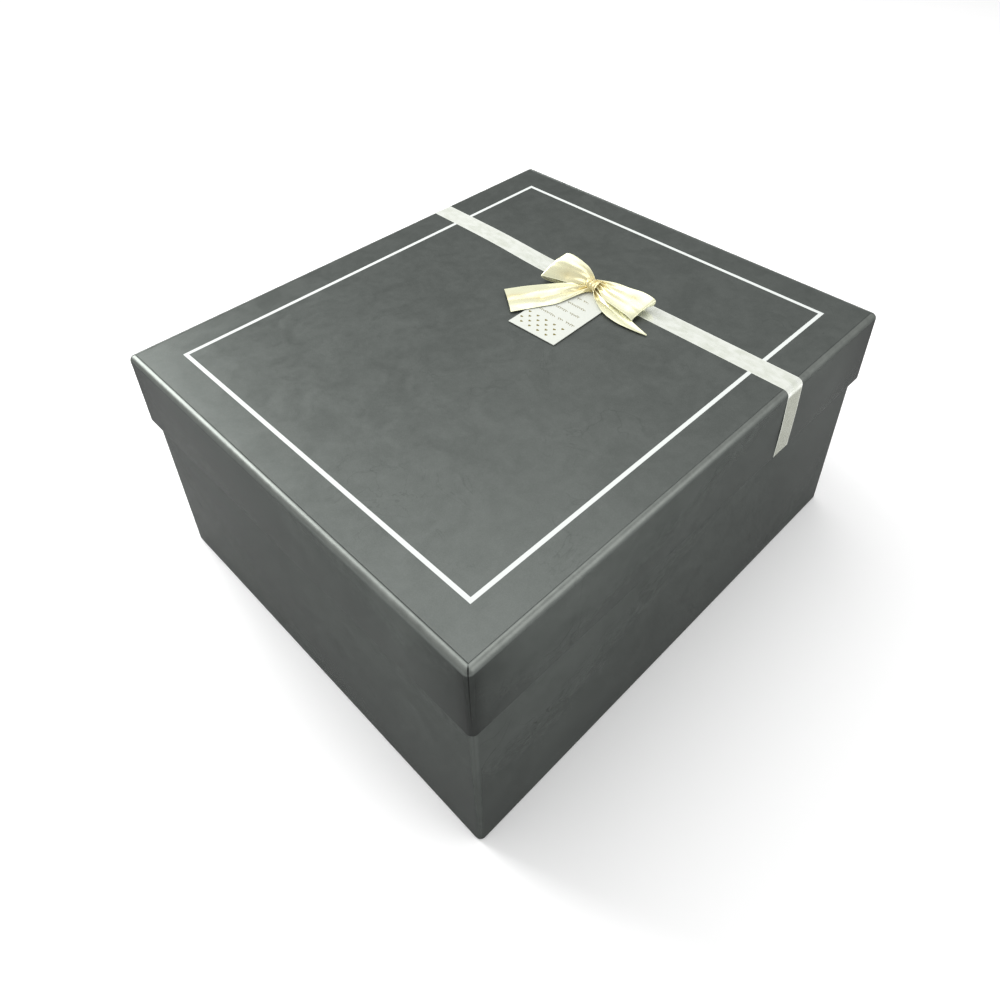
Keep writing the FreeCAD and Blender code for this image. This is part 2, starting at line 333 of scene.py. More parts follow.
def printed_ink(name, tint, rough):
    """A thick ink with the paper's tooth showing through."""
    finish = Finish(name, roughness=rough, specular_ior_level=0.4)
    tooth = finish.noise(finish.place(), 1500, detail=3, roughness=0.6)
    worn = tuple(v * 0.9 for v in tint)
    finish.set(base_color=finish.blend(tooth, worn, tint))
    finish.bump(tooth, 0.02 * MM)
    return finish.material


def satin_ribbon(name, tint, deep, half_width, mottling):
    """Satin: long floats along the ribbon, woven edges with a painted highlight, and painted shade,
    in a deeper colour, where the mesh asks for it.

    The ribbon's mesh says how far each point is along and across it, in metres, and how much painted
    shade it takes."""
    finish = Finish(name, metallic=0.45, sheen_weight=0.1, sheen_roughness=0.4,
                    specular_ior_level=0.6)
    along, across, gather = (
        finish.node("ShaderNodeAttribute", {"attribute_name": fact}, output="Fac")
        for fact in ("along", "across", "gather"))
    thread = finish.node("ShaderNodeCombineXYZ", None, {"X": across * 4200, "Y": along * 260})
    patch = finish.node("ShaderNodeCombineXYZ", None, {"X": across * 190, "Y": along * 105})
    floats = finish.noise(thread, 1.0, detail=2, roughness=0.5)
    cloud = finish.noise(patch, 1.0, detail=4, roughness=0.6, distortion=0.4)
    from_middle = finish.maths("ABSOLUTE", across)
    selvage = finish.ramp(from_middle * (1 / half_width), (0.93, 0.0), (0.965, 1.0))
    mottle = finish.ramp(cloud, (0.4, 0.0), (0.66, 1.0))
    dull = tuple(v * (1 - mottling * share) for v, share in zip(tint, (1.0, 0.95, 1.15)))
    body = finish.blend(mottle, tint, dull)
    # Painted shade: the deeper colour is blended in where the mesh asks for shade.
    folded = finish.blend(gather, body, deep)
    # Painted highlight: the woven edges are blended towards a whiter tint.
    white = tuple(min(1.0, v * 1.06 + 0.02) for v in tint)
    finish.set(base_color=finish.blend(selvage * 0.7, folded, white),
               roughness=0.22 + mottle * 0.12 + selvage * 0.15)
    finish.bump(floats * 0.2 + selvage, 0.01 * MM)
    return finish.material


def gold_ink(name, tint):
    """Matt gold print."""
    finish = Finish(name, metallic=0.35)
    grain = finish.noise(finish.place(), 4000, detail=2)
    light = tuple(min(1.0, v * 1.5) for v in tint)
    finish.set(base_color=finish.blend(grain, tint, light), roughness=0.3 + grain * 0.2)
    return finish.material


def card_stock(name, tint):
    """Smooth white card, very slightly mottled."""
    finish = Finish(name, roughness=0.45, specular_ior_level=0.4)
    cloud = finish.noise(finish.place(), 300, detail=4, roughness=0.6)
    finish.set(base_color=finish.blend(cloud, tuple(v * 0.95 for v in tint), tint))
    finish.bump(cloud, 0.02 * MM)
    return finish.material


# ---------------------------------------------------------------- working on meshes

def put_down():
    """Leaves edit mode and lets go of everything."""
    if bpy.context.object and bpy.context.object.mode != "OBJECT":
        bpy.ops.object.mode_set(mode="OBJECT")
    bpy.ops.object.select_all(action="DESELECT")


def take(piece):
    """Makes one piece the only one selected, and the active one."""
    put_down()
    piece.select_set(True)
    bpy.context.view_layer.objects.active = piece
    return piece


def settle(piece, name):
    """Puts a piece's place into its mesh and names it."""
    take(piece)
    bpy.ops.object.transform_apply(location=True, rotation=True, scale=True)
    piece.name = piece.data.name = name
    return piece


def block(name, low, high):
    """A cube primitive between two corners, open for editing."""
    put_down()
    bpy.ops.mesh.primitive_cube_add(size=1, location=(low + high) / 2, scale=high - low)
    piece = settle(bpy.context.object, name)
    bpy.ops.object.mode_set(mode="EDIT")
    return piece


def pick(piece, kind, test):
    """Selects the vertices, edges or faces of the piece being edited that pass a test."""
    bpy.ops.mesh.select_mode(type=kind)
    bpy.ops.mesh.select_all(action="DESELECT")
    mesh = bmesh.from_edit_mesh(piece.data)
    for part in {"VERT": mesh.verts, "EDGE": mesh.edges, "FACE": mesh.faces}[kind]:
        if test(part):
            part.select_set(True)
    bmesh.update_edit_mesh(piece.data)


def near(value, target, slack=0.01 * MM):
    return abs(value - target) < slack


def at_level(level):
    """A test for the edges that lie at one height."""
    return lambda edge: all(near(v.co.z, level) for v in edge.verts)


def upright(edge):
    a, b = edge.verts
    return near(a.co.x, b.co.x) and near(a.co.y, b.co.y)


def apply_modifier(piece, kind, **settings):
    """Adds a modifier to the piece, sets it and applies it."""
    take(piece)
    modifier = piece.modifiers.new(kind.title(), kind)
    for name, value in settings.items():
        setattr(modifier, name, value)
    bpy.ops.object.modifier_apply(modifier=modifier.name)


def smooth(piece, degrees):
    """Smooths a piece everywhere but at edges sharper than this."""
    take(piece)
    bpy.ops.object.shade_smooth_by_angle(angle=math.radians(degrees))


def dress(piece, material):
    piece.data.materials.clear()
    piece.data.materials.append(material)


def thicken(piece, thickness, offset, degrees):
    """Turns a sheet's faces outwards, gives it its thickness and smooths it."""
    take(piece)
    bpy.ops.object.mode_set(mode="EDIT")
    bpy.ops.mesh.select_all(action="SELECT")
    bpy.ops.mesh.normals_make_consistent(inside=False)
    bpy.ops.object.mode_set(mode="OBJECT")
    apply_modifier(piece, "SOLIDIFY", thickness=thickness, offset=offset)
    smooth(piece, degrees)


# ---------------------------------------------------------------- covering papers

def round_corners(piece, paper, closed_face, edge_radius):
    """Opens a block on the side away from its closed face and rounds its corners and edges."""
    up = closed_face > 0
    half_x, half_y = piece.dimensions.x / 2, piece.dimensions.y / 2
    levels = sorted({round(v.co.z, 7) for v in piece.data.vertices})
    closed_level = levels[-1] if up else levels[0]
    pick(piece, "FACE", lambda face: face.normal.z * closed_face < -0.9)
    bpy.ops.mesh.delete(type="ONLY_FACE")
    pick(piece, "EDGE", upright)
    bpy.ops.mesh.bevel(offset=paper.corner, segments=paper.round_steps, affect="EDGES")
    pick(piece, "EDGE", at_level(closed_level))
    bpy.ops.mesh.bevel(offset=edge_radius, segments=paper.round_steps, affect="EDGES")
    bpy.ops.mesh.select_all(action="SELECT")
    bpy.ops.mesh.remove_doubles(threshold=0.02 * MM)
    if near(edge_radius, paper.corner):
        close_poles(piece, closed_level, half_x - edge_radius, half_y - edge_radius)
    return closed_level


def close_poles(piece, level, pole_x, pole_y):
    """Draws the points round each corner of the flat face into one."""
    def at_pole(v):
        return (near(v.co.z, level) and near(abs(v.co.x), pole_x, 0.3 * MM)
                and near(abs(v.co.y), pole_y, 0.3 * MM))

    pick(piece, "VERT", at_pole)
    for v in bmesh.from_edit_mesh(piece.data).verts:
        if v.select:
            v.co.x, v.co.y = math.copysign(pole_x, v.co.x), math.copysign(pole_y, v.co.y)
    bpy.ops.mesh.remove_doubles(threshold=0.02 * MM)


def press_seams(piece, paper, half_x, half_y, depth, fade_to, reach):
    """Presses the paper's seam into each upright corner, deepest at the top.

    The seam goes over the rounded edge too, as far in as its reach."""
    def cornered(v):
        inset = half_x - abs(v.co.x)
        return near(inset, half_y - abs(v.co.y)) and inset < reach

    pick(piece, "EDGE", lambda edge: all(cornered(v) for v in edge.verts))
    bpy.ops.mesh.bevel(offset=paper.seam_width, segments=2, affect="EDGES")
    mesh = bmesh.from_edit_mesh(piece.data)
    mesh.normal_update()
    top = max(v.co.z for v in mesh.verts)
    low = min(v.co.z for v in mesh.verts)
    moves = []
    for v in mesh.verts:
        if cornered(v):
            share = fade_to + (1 - fade_to) * (v.co.z - low) / (top - low)
            moves.append((v, v.normal * depth * share))
    for v, move in moves:
        v.co -= move
    bmesh.update_edit_mesh(piece.data)


def fold_rim(piece, paper, level, direction, half_x, half_y):
    """Turns the paper over a rim and down the inside of the wall."""
    inner_x, inner_y = half_x - paper.wall, half_y - paper.wall
    pick(piece, "EDGE", lambda edge: edge.is_boundary and at_level(level)(edge))
    bpy.ops.mesh.extrude_edges_move()
    bpy.ops.transform.resize(value=(inner_x / half_x, inner_y / half_y, 1),
                             center_override=(0, 0, 0))
    bpy.ops.mesh.extrude_edges_move(
        TRANSFORM_OT_translate={"value": (0, 0, direction * paper.turn_in)})
    pick(piece, "EDGE", lambda edge: at_level(level)(edge) and len(edge.link_faces) == 2
         and edge.calc_face_angle() > 1)
    bpy.ops.mesh.bevel(offset=paper.rim_fold, segments=5, affect="EDGES")


def make_lid_paper(paper):
    half_x, half_y = LID_HIGH.x, LID_HIGH.y
    piece = block("lid_paper", LID_LOW, LID_HIGH)
    round_corners(piece, paper, 1, paper.lid_edge)
    pick(piece, "FACE", lambda face: face.normal.z > 0.999 and face.calc_area() > 0.01)
    bpy.ops.mesh.inset(thickness=paper.crease_inset, depth=0)
    bpy.ops.mesh.inset(thickness=paper.crease_width, depth=-paper.crease_depth)
    bpy.ops.mesh.inset(thickness=paper.crease_width, depth=paper.crease_depth)
    press_seams(piece, paper, half_x, half_y, depth=paper.lid_seam, fade_to=0.35,
                reach=0.65 * paper.corner)
    fold_rim(piece, paper, LID_LOW.z, 1, half_x, half_y)
    bpy.ops.object.mode_set(mode="OBJECT")
    thicken(piece, paper.thickness, -1, 32)
    dress(piece, pearl_paper("Pearl grey lid paper", paper, LID_HIGH, LID_LOW.z, 0.95))
    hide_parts("lid_wrap")
    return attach(piece, "lid")


def make_tray_paper(paper):
    half_x, half_y = TRAY_HIGH.x, TRAY_HIGH.y
    piece = block("tray_paper", TRAY_LOW, TRAY_HIGH)
    bottom = round_corners(piece, paper, -1, paper.tray_edge)
    pick(piece, "FACE", lambda face: face.normal.z < -0.999 and face.calc_area() > 0.01)
    bpy.ops.mesh.delete(type="ONLY_FACE")
    press_seams(piece, paper, half_x, half_y, depth=paper.tray_seam, fade_to=0.5,
                reach=0.32 * paper.corner)
    pick(piece, "EDGE", lambda edge: edge.is_boundary and at_level(bottom)(edge))
    bpy.ops.mesh.extrude_edges_move()
    bpy.ops.transform.resize(value=((half_x - paper.turn_under) / (half_x - paper.tray_edge),
                                    (half_y - paper.turn_under) / (half_y - paper.tray_edge), 1),
                             center_override=(0, 0, 0))
    fold_rim(piece, paper, TRAY_HIGH.z, -1, half_x, half_y)
    bpy.ops.object.mode_set(mode="OBJECT")
    thicken(piece, paper.thickness, -1, 32)
    dress(piece, pearl_paper("Pearl grey tray paper", paper, TRAY_HIGH, TRAY_LOW.z, 0.25))
    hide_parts("base_wrap")
    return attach(piece, "base")


def make_printed_line(paper):
    """The white line is a flat ring, the size of the one that the lid's design gives."""
    low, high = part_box("lid_foil_frame")
    put_down()
    bpy.ops.mesh.primitive_plane_add(size=1, location=(0, 0, high.z))
    bpy.ops.transform.resize(value=(high.x - low.x, high.y - low.y, 1))
    piece = settle(bpy.context.object, "printed_line")
    bpy.ops.object.mode_set(mode="EDIT")
    bpy.ops.mesh.select_all(action="SELECT")
    bpy.ops.mesh.inset(thickness=paper.line_width, depth=0)
    bpy.ops.mesh.delete(type="FACE")
    bpy.ops.object.mode_set(mode="OBJECT")
    apply_modifier(piece, "SOLIDIFY", thickness=paper.line_rise, offset=1)
    dress(piece, printed_ink("White line", paper.line, 0.42))
    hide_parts("lid_foil_frame")
    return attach(piece, "lid")


# ---------------------------------------------------------------- ribbons

def through(points, count):
    """Places along a smooth line that passes through the given ones, evenly spread over them."""
    points = np.asarray(points, float)
    before, after = 2 * points[:1] - points[1:2], 2 * points[-1:] - points[-2:-1]
    whole = np.concatenate([before, points, after])
    at = np.linspace(0, len(points) - 1, count)
    start = np.minimum(at.astype(int), len(points) - 2)
    t = (at - start).reshape(-1, *[1] * (points.ndim - 1))
    a, b, c, d = (whole[start + i] for i in range(4))
    return 0.5 * (2 * b + (c - a) * t + (2 * a - 5 * b + 4 * c - d) * t ** 2
                  + (3 * b - a - 3 * c + d) * t ** 3)


def lengths(line):
    """How far along a line each of its points is."""
    steps = np.linalg.norm(np.diff(line, axis=0), axis=1)
    return np.concatenate([[0.0], np.cumsum(steps)])


def facing(grid):
    """The unit normal at each point of a grid of points."""
    normal = np.cross(np.gradient(grid, axis=0), np.gradient(grid, axis=1))
    return normal / np.maximum(np.linalg.norm(normal, axis=2, keepdims=True), 1e-12)


def sheet_from(name, grid, facts):
    """A sheet of quads from a grid of points, with one attribute for each named fact."""
    rows, columns = grid.shape[:2]
    index = np.arange(rows * columns).reshape(rows, columns)
    quads = np.stack([index[:-1, :-1], index[1:, :-1], index[1:, 1:], index[:-1, 1:]], -1)
    mesh = bpy.data.meshes.new(name)
    mesh.from_pydata(grid.reshape(-1, 3).tolist(), [], quads.reshape(-1, 4).tolist())
    for fact, values in facts.items():
        attribute = mesh.attributes.new(fact, "FLOAT", "POINT")
        attribute.data.foreach_set("value", np.asarray(values, np.float32).ravel())
    piece = bpy.data.objects.new(name, mesh)
    bpy.context.scene.collection.objects.link(piece)
    return piece


def ribbon_facts(along, across, gather):
    """What the satin needs to know at each point: how far along, how far across, how much painted
    shade.
    """
    shape = (len(along), len(across))
    return {"along": np.broadcast_to(along[:, None], shape),
            "across": np.broadcast_to(across, shape),
            "gather": np.broadcast_to(gather, shape)}


def rounded_route(corners, radii, step):
    """A line through flat corners, with each turn rounded, as points about a step apart."""
    corners = [np.array(c, float) for c in corners]
    route = [corners[0]]
    for before, here, after, radius in zip(corners, corners[1:], corners[2:], radii):
        into = (before - here) / np.linalg.norm(before - here)
        out = (after - here) / np.linalg.norm(after - here)
        half_turn = math.acos(float(np.clip(into @ out, -1, 1))) / 2
        reach = radius / math.tan(half_turn)
        bisector = (into + out) / np.linalg.norm(into + out)
        centre = here + bisector * radius / math.sin(half_turn)
        first, last = here + into * reach - centre, here + out * reach - centre
        count = max(4, int(radius * (math.pi - 2 * half_turn) / step) + 1)
        for share in np.linspace(0, 1, count):
            direction = first * (1 - share) + last * share
            route.append(centre + direction / np.linalg.norm(direction) * radius)
    route.append(corners[-1])
    filled = [route[0]]
    for a, b in zip(route, route[1:]):
        pieces = max(1, int(round(np.linalg.norm(b - a) / step)))
        filled += [a + (b - a) * i / pieces for i in range(1, pieces + 1)]
    return np.array(filled)


def make_band(ribbon, paper):
    """The flat band: up from inside the front rim, across the lid and down inside the back rim."""
    half = ribbon.satin / 2
    out_y, top = LID_HIGH.y + half, LID_HIGH.z + half
    rim = LID_LOW.z - half
    inside_y = LID_HIGH.y - paper.wall - half
    tuck_top = BAND_LOW.z + BAND_TUCK
    side = [(inside_y, tuck_top), (inside_y, rim), (out_y, rim), (out_y, top)]
    corners = [(-y, z) for y, z in side] + side[::-1]
    over_edge = paper.lid_edge + half
    radii = [BAND_FOLD, BAND_FOLD, over_edge, over_edge, BAND_FOLD, BAND_FOLD]
    step = (2 * out_y + 2 * (top - rim)) / ribbon.band_rows
    route = rounded_route(corners, radii, step)
    along = lengths(route)
    middle_x = (BAND_LOW.x + BAND_HIGH.x) / 2
    width = BAND_HIGH.x - BAND_LOW.x
    across = np.linspace(-width / 2, width / 2, BAND_COLUMNS)
    y, z = route[:, 0], route[:, 1]
    on_side = np.clip((top - z) / (top - rim), 0, 1) * (np.abs(y) > inside_y + half)
    # The bow drags the band a little to the left, and its sides hang slightly away from the lid
    pull = -ribbon.band_pull * np.exp(-((y - PULL_AT) / PULL_SPREAD) ** 2)
    stand_off = BAND_HANG * np.sin(math.pi * on_side) ** 1.5
    grid = np.zeros((len(route), BAND_COLUMNS, 3))
    grid[:, :, 0] = middle_x + (pull + BAND_SLANT * on_side * (y < 0))[:, None] + across
    grid[:, :, 1] = (y + np.sign(y) * stand_off)[:, None]
    grid[:, :, 2] = z[:, None]
    # Painted shade mask: the band's parts down the lid's sides take the darker colour.
    painted_side_shade = np.clip((top - paper.lid_edge - z) / (2 * MM), 0, 1)[:, None]
    piece = sheet_from("flat_band", grid, ribbon_facts(along, across, painted_side_shade))
    thicken(piece, ribbon.satin, 0, 50)
    # The band's sides get painted shade from the darker colour.
    dress(piece, satin_ribbon("Band satin", ribbon.band, ribbon.band_side, width / 2, 0.2))
    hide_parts("ribbon_band")
    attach(piece, "lid")
    return piece


# The bow, in millimetres from the middle of the knot's foot on the lid. A station is a row of
# points across the ribbon, from its far edge to its near one. A closed run comes back to the knot.
# Pleats is how many draw the ribbon in, and shift where they begin. Belly is how far the middle
# stands out. A crease, which gets painted shade in its groove, runs along the ribbon:
# (share across at the start, share across at the end, width, depth, how far it reaches, from)
BOW = {
    "left_loop": {
        "closed": True,
        "pleats": 2,
        "shift": 0.15,
        "stations": [
            [(2.0, 1.0, 7.6), (-1.4, 1.0, 6.0)],
            [(5.0, 4.9, 9.0), (-2.4, 5.5, 4.6)],
            [(6.3, 10.1, 12.0), (-4.2, 10.3, 4.0)],
            [(5.6, 17.9, 15.2), (-7.5, 16.3, 3.8)],
            [(4.3, 24.0, 16.8), (-10.5, 25.5, 3.9)],
            [(3.2, 27.8, 15.8), (-12.9, 34.6, 3.2)],
            [(2.2, 25.5, 12.6), (-12.0, 31.0, 1.5)],
            [(1.6, 18.0, 8.5), (-9.0, 21.0, 1.3)],
            [(1.0, 9.0, 4.8), (-4.5, 10.5, 1.2)],
            [(1.2, 1.5, 3.2), (-1.4, 1.4, 1.8)],
        ],
        "belly": 1.6,
        "creases": [
            (0.50, 0.42, 0.10, -1.3, 0.30, 0.0),
            (0.28, 0.20, 0.07, -0.8, 0.16, 0.0),
            (0.72, 0.78, 0.07, -0.7, 0.14, 0.0),
            (0.30, 0.75, 0.22, -1.1, 0.08, 0.36),
            (0.50, 0.50, 0.16, -1.0, 0.12, 1.0),
        ],
    },
    "right_loop": {
        "closed": True,
        "pleats": 3,
        "shift": 0.40,
        "stations": [
            [(2.3, -1.2, 7.4), (-1.0, -1.2, 6.4)],
            [(4.6, -7.2, 9.2), (-3.6, -6.8, 6.2)],
            [(6.4, -14.1, 10.0), (-8.0, -14.2, 5.7)],
            [(6.8, -24.0, 10.8), (-10.2, -26.5, 5.4)],
            [(9.4, -33.0, 10.2), (-11.4, -35.0, 5.0)],
            [(10.4, -41.0, 7.8), (-11.6, -39.4, 3.4)],
            [(8.8, -38.6, 3.4), (-9.6, -37.6, 1.5)],
            [(5.2, -26.0, 2.2), (-7.8, -25.0, 1.3)],
            [(2.4, -12.0, 2.4), (-3.2, -12.0, 1.4)],
            [(1.4, -1.6, 3.2), (-1.0, -1.6, 2.0)],
        ],
        "belly": 1.2,
        "creases": [
            (0.45, 0.38, 0.09, -1.1, 0.22, 0.0),
            (0.70, 0.64, 0.08, -0.9, 0.28, 0.0),
            (0.20, 0.14, 0.07, -0.6, 0.14, 0.0),
            (0.55, 0.40, 0.20, -1.0, 0.06, 0.40),
            (0.50, 0.50, 0.16, -0.8, 0.12, 1.0),
        ],
    },
    "left_tail": {
        "closed": False,
        "pleats": 2,
        "shift": 0.30,
        "stations": [
            [(-0.6, 1.6, 3.4), (-1.4, -0.6, 2.8)],
            [(-2.2, 8.2, 3.6), (-7.5, 2.2, 2.4)],
            [(-8.5, 16.2, 3.9), (-18.5, 4.7, 1.9)],
            [(-18.0, 24.5, 3.8), (-28.5, 7.2, 1.7)],
            [(-29.0, 34.0, 3.0), (-39.0, 13.0, 1.6)],
            [(-39.5, 42.7, 1.6), (-54.4, 21.9, 1.3)],
        ],
        "belly": 1.5,
        "creases": [
            (0.55, 0.62, 0.13, -2.4, 0.42, 0.0),
            (0.25, 0.30, 0.08, -1.0, 0.20, 0.0),
            (0.20, 0.62, 0.17, -1.7, 0.14, 0.72),
            (0.75, 0.45, 0.12, 0.8, 0.16, 0.95),
        ],
    },
    "right_tail": {
        "closed": False,
        "pleats": 2,
        "shift": 0.00,
        "stations": [
            [(-2.4, -1.6, 3.4), (-0.9, -2.8, 4.2), (-2.0, -1.6, 2.6)],
            [(-8.6, -8.6, 2.0), (-2.4, -8.8, 3.8), (-7.4, -7.8, 1.4)],
            [(-15.6, -20.9, 1.6), (-5.4, -20.4, 3.6), (-13.6, -18.6, 1.1)],
            [(-17.8, -33.2, 1.4), (-9.0, -31.8, 3.0), (-16.4, -30.6, 1.0)],
            [(-16.8, -45.5, 1.2), (-12.2, -43.6, 2.0), (-16.4, -42.6, 0.9)],
            [(-15.2, -54.4, 1.0), (-14.4, -53.8, 1.2), (-15.6, -51.4, 0.8)],
        ],
        "belly": 0.0,
        "creases": [],
    },
}


FULL_BELLY = 18 * MM    # a run narrower than this stands out less
PLEAT_FADE = 0.19       # share of a run over which its pleats fade away from the knot
KNOT_SHADE_REACH = 9 * MM      # how far the painted shade spreads from the knot


def lay_strip(strip, ribbon, base):
    """One run of the bow's ribbon as a grid of points, with what its satin needs to know."""
    stations = np.array(strip["stations"]) * MM
    rows, columns = ribbon.bow_rows, ribbon.bow_columns
    guides = through(stations, rows)
    if guides.shape[1] == 2:
        share = np.linspace(0, 1, columns)[None, :, None]
        grid = guides[:, :1] * (1 - share) + guides[:, 1:] * share
    else:
        grid = through(guides.transpose(1, 0, 2), columns).transpose(1, 0, 2)
    u = np.linspace(0, 1, rows)[:, None]
    v = np.linspace(0, 1, columns)[None, :]
    middle = grid[:, columns // 2]
    along = lengths(middle)
    span_across = np.linalg.norm(grid[:, 0] - grid[:, -1], axis=1)[:, None]
    lift = strip["belly"] * MM * np.sin(math.pi * v) * np.clip(span_across / FULL_BELLY, 0, 1)
    # Width that the ribbon can't show is taken up in pleats that fan out from the knot
    spare = np.sqrt(np.maximum(ribbon.bow_width ** 2 - span_across ** 2, 0))
    from_knot = 1 - np.abs(2 * u - 1) if strip["closed"] else u
    underneath = np.clip((u - 0.6) / 0.08, 0, 1) if strip["closed"] else 0
    pleats = strip["pleats"]
    wander = v + 0.05 * np.sin(2 * math.pi * (v + 1.3 * u + strip["shift"]))
    at_knot = np.exp(-from_knot / PLEAT_FADE)
    share = 0.03 + 0.6 * underneath + (0.97 - 0.55 * underneath) * at_knot
    height = spare / (4 * pleats) * share
    lift = lift + height * np.cos(2 * math.pi * (pleats * wander + strip["shift"]))
    # Painted shade along each crease's groove.
    gather = np.zeros((rows, columns))
    for start, end, wide, depth, reach, centre in strip["creases"]:
        middle_v = start + (end - start) * (1 - np.abs(u - centre))
        fade = np.exp(-np.abs(u - centre) / reach)
        groove = np.exp(-((v - middle_v) / wide) ** 2) * fade
        lift = lift + depth * MM * groove
        gather += 0.8 * groove
    normal = facing(grid)
    grid = grid + normal * lift[:, :, None]
    grid = grid + np.array(base)
    return grid, along, np.clip(gather, 0, 1)


def knot_grid():
    """The knot: the ribbon drawn round the middle of the bow, gathered into small pleats."""
    size = KNOT_HIGH - KNOT_LOW
    turn = np.linspace(0, 2 * math.pi, KNOT_ROWS)[:, None]
    v = np.linspace(-1, 1, KNOT_COLUMNS)[None, :]
    pleat = KNOT_PLEAT * np.cos(v * math.pi * 3.5 + 0.6 * np.sin(turn * 2)) * (1 - v ** 2 * 0.4)
    waist = 1 - 0.10 * (1 - v ** 2) + 0.04 * np.sin(turn * 3 + v * 2)
    half_x, half_z = size.x / 2 - KNOT_SLACK, size.z / 2 - KNOT_SLACK
    grid = np.zeros((KNOT_ROWS, KNOT_COLUMNS, 3))
    centre = (KNOT_LOW + KNOT_HIGH) / 2
    grid[:, :, 0] = centre.x + (half_x * waist + pleat) * np.cos(turn)
    grid[:, :, 1] = centre.y + v * (size.y / 2 - KNOT_END) * (1 + 0.1 * np.sin(turn))
    grid[:, :, 2] = centre.z + (half_z * waist + pleat) * np.sin(turn)
    return grid


def make_bow(ribbon):
    """Two loops, two tails and a knot, all one ribbon."""
    foot = Vector(((KNOT_LOW.x + KNOT_HIGH.x) / 2, (KNOT_LOW.y + KNOT_HIGH.y) / 2, LID_HIGH.z))
    half = ribbon.bow_width / 2
    across = np.linspace(-half, half, ribbon.bow_columns)
    runs, total = [], 0.0
    for name, strip in BOW.items():
        grid, along, gather = lay_strip(strip, ribbon, foot)
        # Painted shade: deeper colour in the creases and round the knot.
        near_knot = np.exp(-np.linalg.norm(grid - np.array(foot), axis=2) / KNOT_SHADE_REACH)
        deep = np.clip(gather * 0.4 + near_knot, 0, 1)
        runs.append(sheet_from(name, grid, ribbon_facts(total + along, across, deep)))
        total += along[-1]
    grid = knot_grid()
    along = lengths(grid[:, KNOT_COLUMNS // 2])
    knot_across = np.linspace(-half, half, KNOT_COLUMNS)
    # The knot is painted with shade all over, at 0.6.
    runs.append(sheet_from("knot", grid, ribbon_facts(total + along, knot_across, 0.6)))
    # About 0.6 of the turn is ribbon that no loop or tail has counted already
    total += along[-1] * 0.6
    for run in runs:
        apply_modifier(run, "SOLIDIFY", thickness=ribbon.satin, offset=0)
        smooth(run, 60)
    take(runs[0])
    for run in runs[1:]:
        run.select_set(True)
    bpy.ops.object.join()
    piece = settle(bpy.context.object, "tied_bow")
    dress(piece, satin_ribbon("Bow satin", ribbon.cream, ribbon.painted_fold_shade, half, 0.10))
    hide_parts("bow_knot", "bow_loop_left", "bow_loop_right", "bow_tail_left",
                "bow_tail_right")
    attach(piece, "lid")
    return piece


# ---------------------------------------------------------------- tag print

# The tag's print, in millimetres
HEART_POINTS = 28
HEART_COLUMNS, FIRST_COLUMN, COLUMN_STEP = 4, 13.5, 3.78
ROW_STEP, FIRST_ROW = 6.9, (3.3, 6.7)       # even columns, then odd ones, which hold one more
LOOP = 1.55                                 # length of one loop of a flowing line
# Each flowing line: how far along the tag it is, and where it starts and ends across the tag
LINES = ((56.6, -5.0, -8.4), (56.6, -10.2, -14.0), (49.0, -3.6, -18.4), (40.7, -0.8, -10.4),
         (40.7, -12.4, -20.2), (31.6, 5.0, -8.6), (31.6, -10.8, -15.2), (31.6, -17.2, -24.2))


def make_heart(ribbon, name):
    """A flat heart, point towards -X, from a disc whose rim is drawn in and pulled out."""
    put_down()
    bpy.ops.mesh.primitive_circle_add(vertices=HEART_POINTS, radius=1, fill_type="NGON")
    piece = settle(bpy.context.object, name)
    scale = ribbon.heart / 32   # the curve below is 32 wide
    for i, vertex in enumerate(piece.data.vertices):
        t = 2 * math.pi * i / HEART_POINTS
        wide = 16 * math.sin(t) ** 3
        tall = 13 * math.cos(t) - 5 * math.cos(2 * t) - 2 * math.cos(3 * t) - math.cos(4 * t)
        vertex.co = (tall * scale, wide * scale, 0)
    return piece


def flourish(place, start, end, top, seed):
    """A flowing line of loops that lean and vary in height, as a flat strip along Y."""
    loops = abs(end - start) / LOOP
    phase = np.linspace(0, 2 * math.pi * loops, int(loops * 30))
    sway = 1 + 0.35 * np.sin(phase / 2.7 + seed) + 0.25 * np.sin(phase / 1.3 + 2 * seed)
    rise = 0.72 * sway * np.cos(phase)
    run = start - LOOP * phase / (2 * math.pi) - 0.42 * np.sin(phase) + 0.3 * rise
    middle = np.stack([place + rise, run, np.zeros(len(phase))], 1)
    forward = np.gradient(middle, axis=0)
    forward /= np.linalg.norm(forward, axis=1, keepdims=True)
    beside = np.stack([-forward[:, 1], forward[:, 0], forward[:, 2]], 1)
    half_stroke = (0.13 + 0.05 * np.cos(phase + 0.8))[:, None]
    strip = np.stack([middle - beside * half_stroke, middle + beside * half_stroke], 1)
    return sheet_from("flourish", strip * MM + np.array((0, 0, top)), {})


def print_on_tag(parts, name, ink, ribbon):
    """Joins flat shapes into one print that faces up and stands a little proud of the card."""
    take(parts[0])
    for part in parts[1:]:
        part.select_set(True)
    if len(parts) > 1:
        bpy.ops.object.join()
    piece = settle(bpy.context.object, name)
    bpy.ops.object.mode_set(mode="EDIT")
    pick(piece, "FACE", lambda face: face.normal.z < 0)
    bpy.ops.mesh.flip_normals()
    bpy.ops.object.mode_set(mode="OBJECT")
    apply_modifier(piece, "SOLIDIFY", thickness=ribbon.print_rise, offset=1)
    dress(piece, ink)
    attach(piece, "tag")


